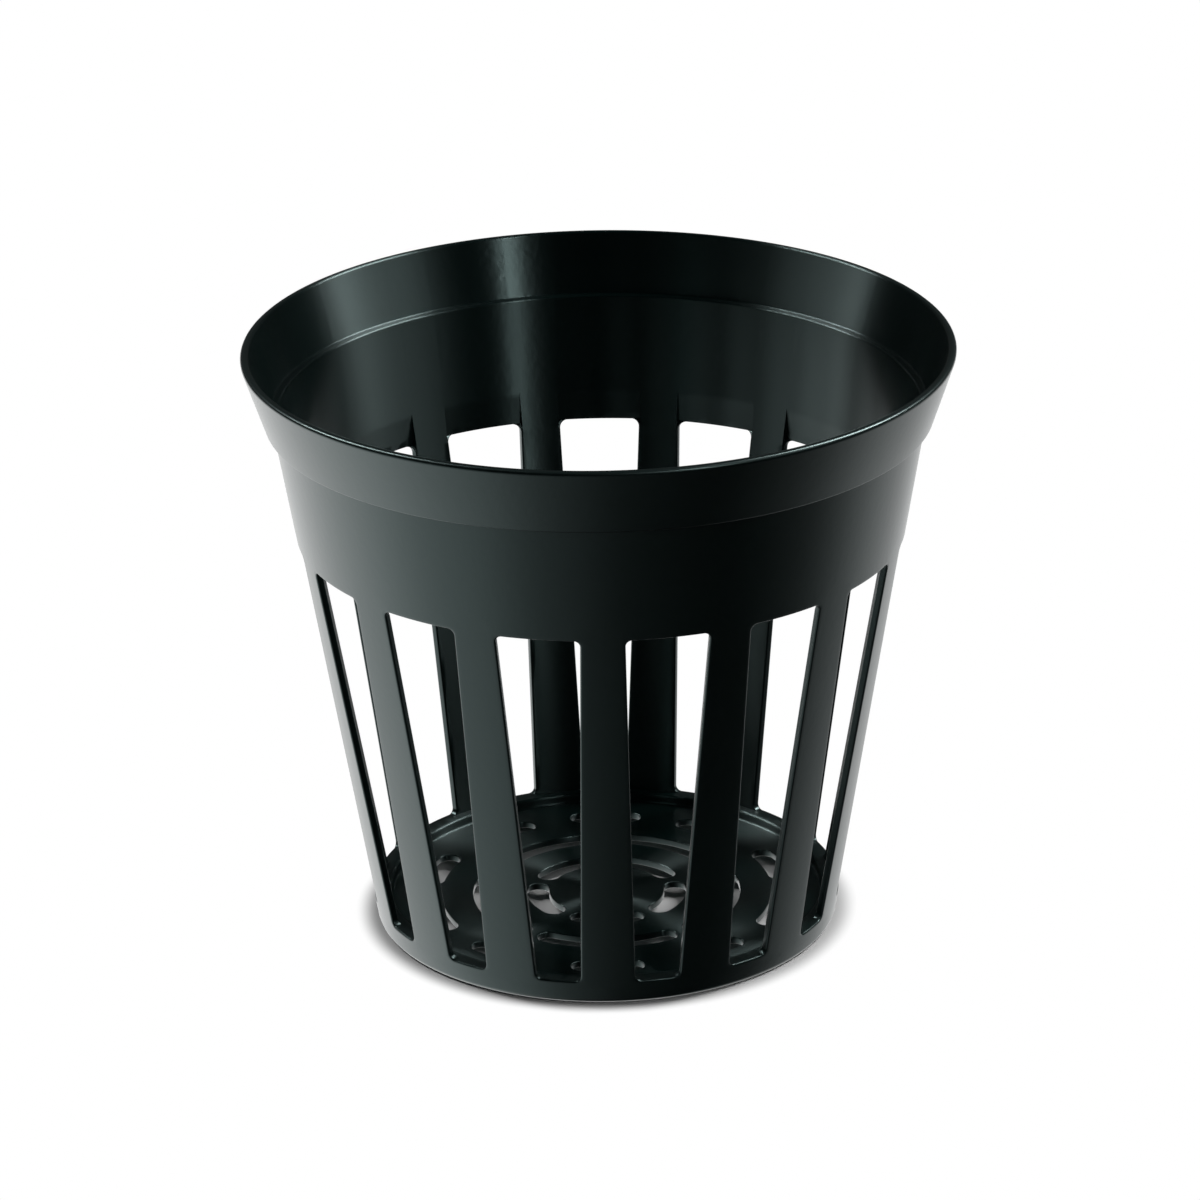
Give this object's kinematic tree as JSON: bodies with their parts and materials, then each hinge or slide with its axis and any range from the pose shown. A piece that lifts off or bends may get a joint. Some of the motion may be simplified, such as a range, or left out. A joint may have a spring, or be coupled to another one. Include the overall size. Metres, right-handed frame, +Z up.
{
  "type": "hydroponic net pot",
  "caption": "Tapered round plastic net pot with a flared collar, long tapered slots between ribs around the wall and arc windows in its floor, for growing plants in a hydroponic channel or lid.",
  "frame": {"origin": "centre of the foot ring, on the plane the pot stands on", "axes": "+Z up along the pot's axis to the rim; a rib is centred on -Y, and so a slot is centred on +Y"},
  "size_m": [0.1, 0.1, 0.086],
  "materials": {
    "black_plastic": "injection-moulded black polypropylene, satin outside and glossier inside"
  },
  "bodies": {
    "root": {"net_pot": "black_plastic"}
  },
  "joints": []
}
